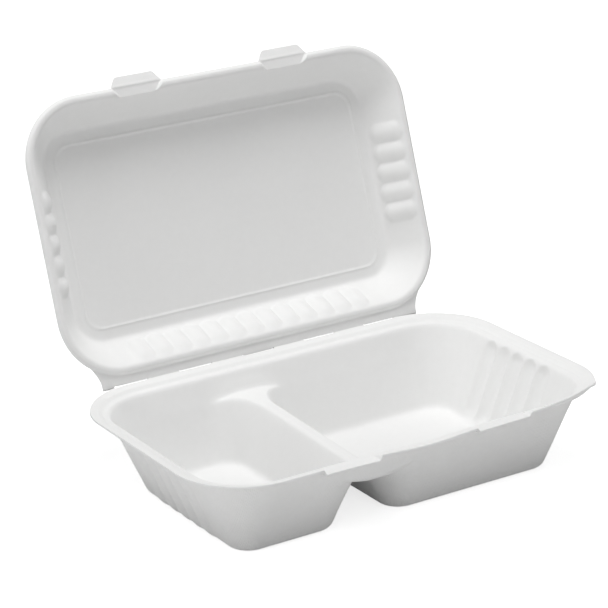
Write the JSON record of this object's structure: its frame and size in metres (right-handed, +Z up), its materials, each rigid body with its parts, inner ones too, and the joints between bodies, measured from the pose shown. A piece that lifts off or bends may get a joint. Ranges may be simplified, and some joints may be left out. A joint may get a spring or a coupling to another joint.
{
  "type": "clamshell meal box",
  "caption": "Moulded fibre clamshell meal box: divided tray with fluted short walls and a hinged lid with locking tabs.",
  "frame": {"origin": "middle of the tray's footprint, on the surface that it stands on", "axes": "+X along the length towards the large compartment, +Y towards the hinge, +Z up"},
  "size_m": [0.25, 0.2207, 0.2036],
  "materials": {
    "bagasse_fibre": "matte moulded bagasse fibre, off-white, fine felt texture"
  },
  "bodies": {
    "base": {"base": "bagasse_fibre"},
    "lid": {"lid": "bagasse_fibre"}
  },
  "joints": [
    {"name": "lid_hinge", "type": "hinge", "parent": "base", "child": "lid", "pos_m": [0, 0.0808, 0.0484], "axis": [-1, 0, 0], "range_deg": [-107.5, 72.5]}
  ]
}
